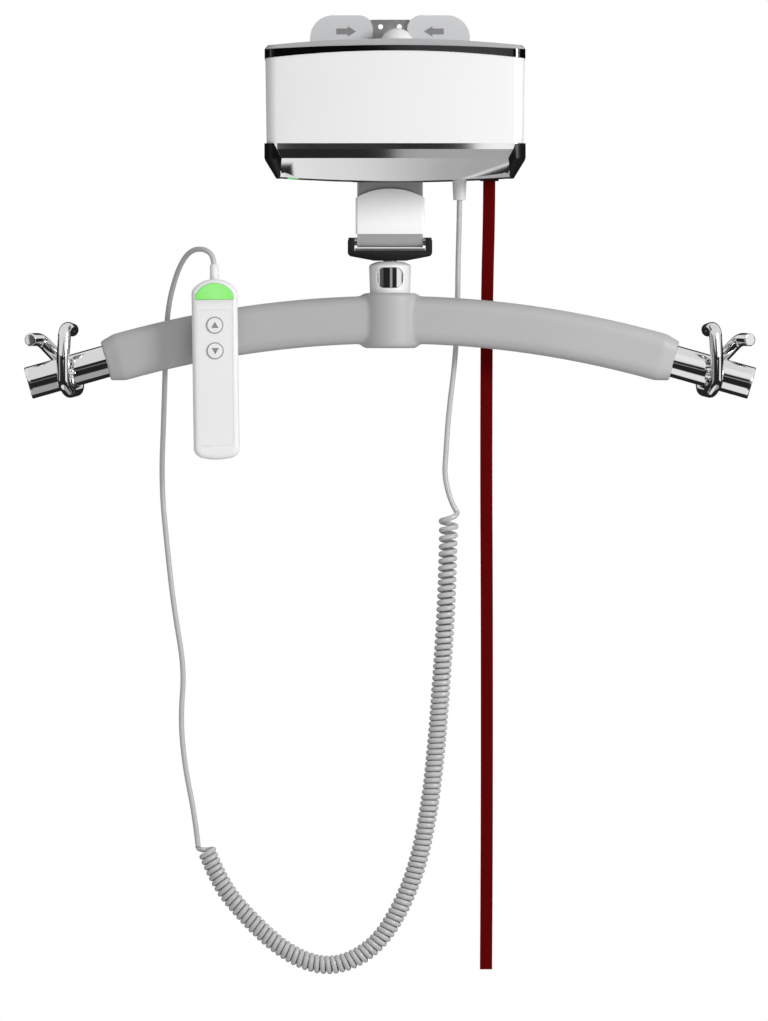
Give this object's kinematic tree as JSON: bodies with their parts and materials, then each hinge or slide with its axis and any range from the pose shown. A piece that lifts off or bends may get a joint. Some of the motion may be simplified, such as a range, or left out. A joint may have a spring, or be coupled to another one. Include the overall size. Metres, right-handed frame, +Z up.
{
  "type": "ceiling track hoist",
  "caption": "Ceiling track hoist with a strap-hung spreader bar, sling hooks, curly-corded hand control and emergency pull strap.",
  "frame": {"origin": "middle of the two holes in the hanger plate that hangs from the track's trolley", "axes": "+X along the track and the spreader bar, front faces -Y, +Z up"},
  "size_m": [0.6442, 0.178, 0.8446],
  "materials": {
    "white_plastic": "gloss",
    "white_satin_plastic": "satin",
    "tab_plastic": "translucent",
    "black_chrome": "polished",
    "chrome": "polished",
    "silver_plastic": "gloss",
    "lid_grey": "gloss",
    "black_plastic": "gloss",
    "black_steel": "powder coat",
    "steel": "zinc plated",
    "bright_steel": "turned",
    "aluminium": "cast",
    "pad_grey": "satin moulded skin",
    "strap_grey": "woven webbing",
    "pull_red": "woven tape",
    "cord_grey": "satin",
    "green_lens": "translucent",
    "overlay_white": "printed film",
    "key_grey": "satin",
    "battery_black": "moulded",
    "board_green": "solder mask"
  },
  "bodies": {
    "hoist": {"hanger_plate": "steel", "hanger_bolts": "steel", "frame": "steel", "top_cover": "lid_grey", "dome_cap": "white_plastic", "top_band": "black_chrome", "front_cover": "white_plastic", "rear_cover": "white_plastic", "trim_ring": "black_chrome", "corner_caps": "black_plastic", "bottom_tray": "silver_plastic", "tray_screws": "steel", "status_lens": "green_lens", "strap_guide": "black_plastic", "limit_switch": "black_plastic", "cord_gland": "white_satin_plastic", "pull_bezel": "black_plastic", "batteries": "battery_black", "board_standoffs": "bright_steel", "control_board": "board_green", "gearbox": "aluminium", "motor": "steel", "drum_bearings": "bright_steel", "cord_upper_lead": "cord_grey"},
    "left_tab": {"release_tab_left": "tab_plastic"},
    "right_tab": {"release_tab_right": "tab_plastic"},
    "drum": {"drum": "aluminium", "drum_shaft": "bright_steel", "strap_roll": "strap_grey"},
    "pull": {"pull_anchor": "black_plastic", "pull_strap": "pull_red"},
    "carriage": {"lift_strap": "strap_grey", "strap_sleeve": "white_satin_plastic", "strap_bracket": "black_steel", "bracket_pin": "bright_steel", "bracket_wear_plate": "bright_steel", "swivel_stud": "bright_steel", "cord_coil": "cord_grey"},
    "bar": {"release_collar": "white_plastic", "stud_socket": "steel", "hub_boss": "steel", "bar_tube": "chrome", "bar_pad": "pad_grey", "bar_end_caps": "silver_plastic", "sling_hook_left": "chrome", "sling_hook_right": "chrome", "cord_lower_lead": "cord_grey"},
    "front_button": {"release_button_front": "chrome"},
    "rear_button": {"release_button_rear": "chrome"},
    "handset": {"handset_front_shell": "white_satin_plastic", "handset_rear_shell": "white_satin_plastic", "handset_lens": "green_lens", "handset_overlay": "overlay_white", "handset_board": "board_green", "handset_boot": "white_satin_plastic", "handset_hook": "black_steel", "handset_screws": "steel", "cord_loop": "cord_grey"},
    "up_key": {"up_button": "key_grey"},
    "down_key": {"down_button": "key_grey"}
  },
  "joints": [
    {"name": "left_tab_slide", "type": "slide", "parent": "hoist", "child": "left_tab", "axis": [1, 0, 0], "range_m": [0, 0.008], "stiffness_N_per_m": 200},
    {"name": "right_tab_slide", "type": "slide", "parent": "hoist", "child": "right_tab", "axis": [-1, 0, 0], "range_m": [0, 0.008], "stiffness_N_per_m": 200},
    {"name": "drum_turn", "type": "hinge", "parent": "hoist", "child": "drum", "pos_m": [0, 0.0402, -0.072], "axis": [1, 0, 0], "range_deg": [-12, 4020]},
    {"name": "emergency_pull", "type": "slide", "parent": "hoist", "child": "pull", "axis": [0, 0, -1], "range_m": [0, 0.01], "stiffness_N_per_m": 800},
    {"name": "lift", "type": "slide", "parent": "hoist", "child": "carriage", "axis": [0, 0, -1], "range_m": [-0.005, 2.1], "deforming": ["lift_strap", "cord_upper_lead"]},
    {"name": "swivel", "type": "hinge", "parent": "carriage", "child": "bar", "pos_m": [0, 0, -0.22], "axis": [0, 0, 1], "continuous": true, "deforming": ["cord_lower_lead", "pull_strap"]},
    {"name": "front_button_press", "type": "slide", "parent": "bar", "child": "front_button", "axis": [0, 1, 0], "range_m": [0, 0.003], "stiffness_N_per_m": 400},
    {"name": "rear_button_press", "type": "slide", "parent": "bar", "child": "rear_button", "axis": [0, -1, 0], "range_m": [0, 0.003], "stiffness_N_per_m": 400},
    {"name": "handset_unhook", "type": "slide", "parent": "bar", "child": "handset", "axis": [0, 0, 1], "range_m": [0, 0.04], "deforming": ["cord_loop"]},
    {"name": "up_press", "type": "slide", "parent": "handset", "child": "up_key", "axis": [0, 1, 0], "range_m": [0, 0.0008], "stiffness_N_per_m": 500},
    {"name": "down_press", "type": "slide", "parent": "handset", "child": "down_key", "axis": [0, 1, 0], "range_m": [0, 0.0008], "stiffness_N_per_m": 500}
  ],
  "couplings": [
    {"joint": "drum_turn", "follows": "lift", "rad_per_m": 33.2}
  ]
}
